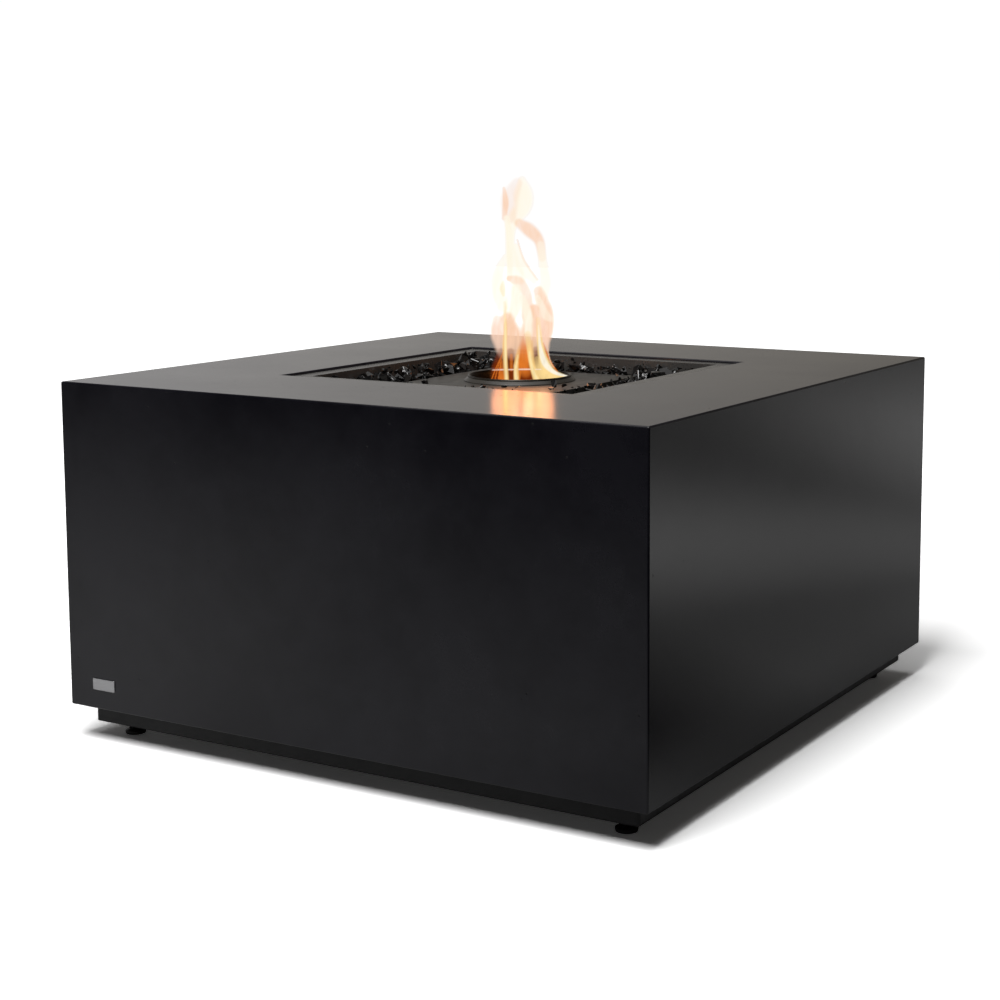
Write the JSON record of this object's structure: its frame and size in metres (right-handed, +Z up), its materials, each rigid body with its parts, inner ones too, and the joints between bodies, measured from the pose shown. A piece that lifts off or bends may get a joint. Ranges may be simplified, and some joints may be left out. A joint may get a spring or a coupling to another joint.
{
  "type": "fire pit table",
  "caption": "Square concrete fire pit table on a recessed steel plinth with levelling feet, a drop-in tray of crushed glass and a lift-out round ethanol burner.",
  "frame": {"origin": "on the floor, under the centre of the square body", "axes": "+Z up; the front, with the small blank badge, faces -Y; +X to the right seen from the front"},
  "size_m": [0.762, 0.7632, 0.419],
  "materials": {
    "concrete": "matte",
    "gasket": "matte",
    "badge_metal": "satin",
    "adhesive": "matte",
    "plinth_paint": "satin",
    "zinc_steel": "satin",
    "blackened_steel": "satin",
    "shim_plastic": "matte",
    "pad_plastic": "matte",
    "sole_rubber": "matte",
    "tray_black": "satin",
    "stainless": "satin",
    "heat_tinted_steel": "satin",
    "wick_wool": "matte",
    "spacer_board": "matte",
    "black_glass": "gloss"
  },
  "bodies": {
    "cabinet": {"concrete_shell": "concrete", "tray_gasket": "gasket", "badge_plate": "badge_metal", "badge_adhesive": "adhesive", "foot_inserts": "zinc_steel", "foot_locknuts": "blackened_steel", "anchor_sockets": "zinc_steel", "anchor_bolts": "zinc_steel", "anchor_washers": "zinc_steel", "shim_pads": "shim_plastic", "plinth_rail_front": "plinth_paint", "plinth_rail_right": "plinth_paint", "plinth_rail_back": "plinth_paint", "plinth_rail_left": "plinth_paint", "corner_plate_front_left": "plinth_paint", "corner_plate_front_right": "plinth_paint", "corner_plate_back_right": "plinth_paint", "corner_plate_back_left": "plinth_paint"},
    "fire_tray_unit": {"fire_tray": "tray_black", "burner_cradle": "tray_black", "burner_well": "tray_black", "glass_bed_front": "black_glass", "glass_bed_right": "black_glass", "glass_bed_back": "black_glass", "glass_bed_left": "black_glass"},
    "burner_unit": {"burner_plate": "tray_black", "burner_neck": "stainless", "burner_drum": "stainless", "fuel_reservoir": "stainless", "reservoir_top": "stainless", "reservoir_spacers": "spacer_board", "ceramic_wick": "wick_wool", "burner_baffle": "heat_tinted_steel", "loose_glass": "black_glass"},
    "collar": {"burner_collar": "heat_tinted_steel"},
    "foot_front_left": {"foot_pad_front_left": "pad_plastic", "foot_sole_front_left": "sole_rubber"},
    "stud_front_left": {"foot_stud_front_left": "blackened_steel"},
    "foot_front_right": {"foot_pad_front_right": "pad_plastic", "foot_sole_front_right": "sole_rubber"},
    "stud_front_right": {"foot_stud_front_right": "blackened_steel"},
    "foot_back_right": {"foot_pad_back_right": "pad_plastic", "foot_sole_back_right": "sole_rubber"},
    "stud_back_right": {"foot_stud_back_right": "blackened_steel"},
    "foot_back_left": {"foot_pad_back_left": "pad_plastic", "foot_sole_back_left": "sole_rubber"},
    "stud_back_left": {"foot_stud_back_left": "blackened_steel"}
  },
  "joints": [
    {"name": "tray_lift", "type": "slide", "parent": "cabinet", "child": "fire_tray_unit", "axis": [0, 0, 1], "range_m": [0, 0.2]},
    {"name": "burner_lift", "type": "slide", "parent": "fire_tray_unit", "child": "burner_unit", "axis": [0, 0, 1], "range_m": [0, 0.15]},
    {"name": "collar_lift", "type": "slide", "parent": "burner_unit", "child": "collar", "axis": [0, 0, 1], "range_m": [0, 0.05]},
    {"name": "foot_height_front_left", "type": "slide", "parent": "cabinet", "child": "foot_front_left", "axis": [0, 0, -1], "range_m": [0, 0.015]},
    {"name": "foot_turn_front_left", "type": "hinge", "parent": "foot_front_left", "child": "stud_front_left", "pos_m": [-0.33, -0.33, 0], "axis": [0, 0, -1], "range_deg": [0, 4500]},
    {"name": "foot_height_front_right", "type": "slide", "parent": "cabinet", "child": "foot_front_right", "axis": [0, 0, -1], "range_m": [0, 0.015]},
    {"name": "foot_turn_front_right", "type": "hinge", "parent": "foot_front_right", "child": "stud_front_right", "pos_m": [0.33, -0.33, 0], "axis": [0, 0, -1], "range_deg": [0, 4500]},
    {"name": "foot_height_back_right", "type": "slide", "parent": "cabinet", "child": "foot_back_right", "axis": [0, 0, -1], "range_m": [0, 0.015]},
    {"name": "foot_turn_back_right", "type": "hinge", "parent": "foot_back_right", "child": "stud_back_right", "pos_m": [0.33, 0.33, 0], "axis": [0, 0, -1], "range_deg": [0, 4500]},
    {"name": "foot_height_back_left", "type": "slide", "parent": "cabinet", "child": "foot_back_left", "axis": [0, 0, -1], "range_m": [0, 0.015]},
    {"name": "foot_turn_back_left", "type": "hinge", "parent": "foot_back_left", "child": "stud_back_left", "pos_m": [-0.33, 0.33, 0], "axis": [0, 0, -1], "range_deg": [0, 4500]}
  ],
  "couplings": [
    {"joint": "foot_turn_front_left", "follows": "foot_height_front_left", "rad_per_m": 5026.6},
    {"joint": "foot_turn_front_right", "follows": "foot_height_front_right", "rad_per_m": 5026.6},
    {"joint": "foot_turn_back_right", "follows": "foot_height_back_right", "rad_per_m": 5026.6},
    {"joint": "foot_turn_back_left", "follows": "foot_height_back_left", "rad_per_m": 5026.6}
  ]
}
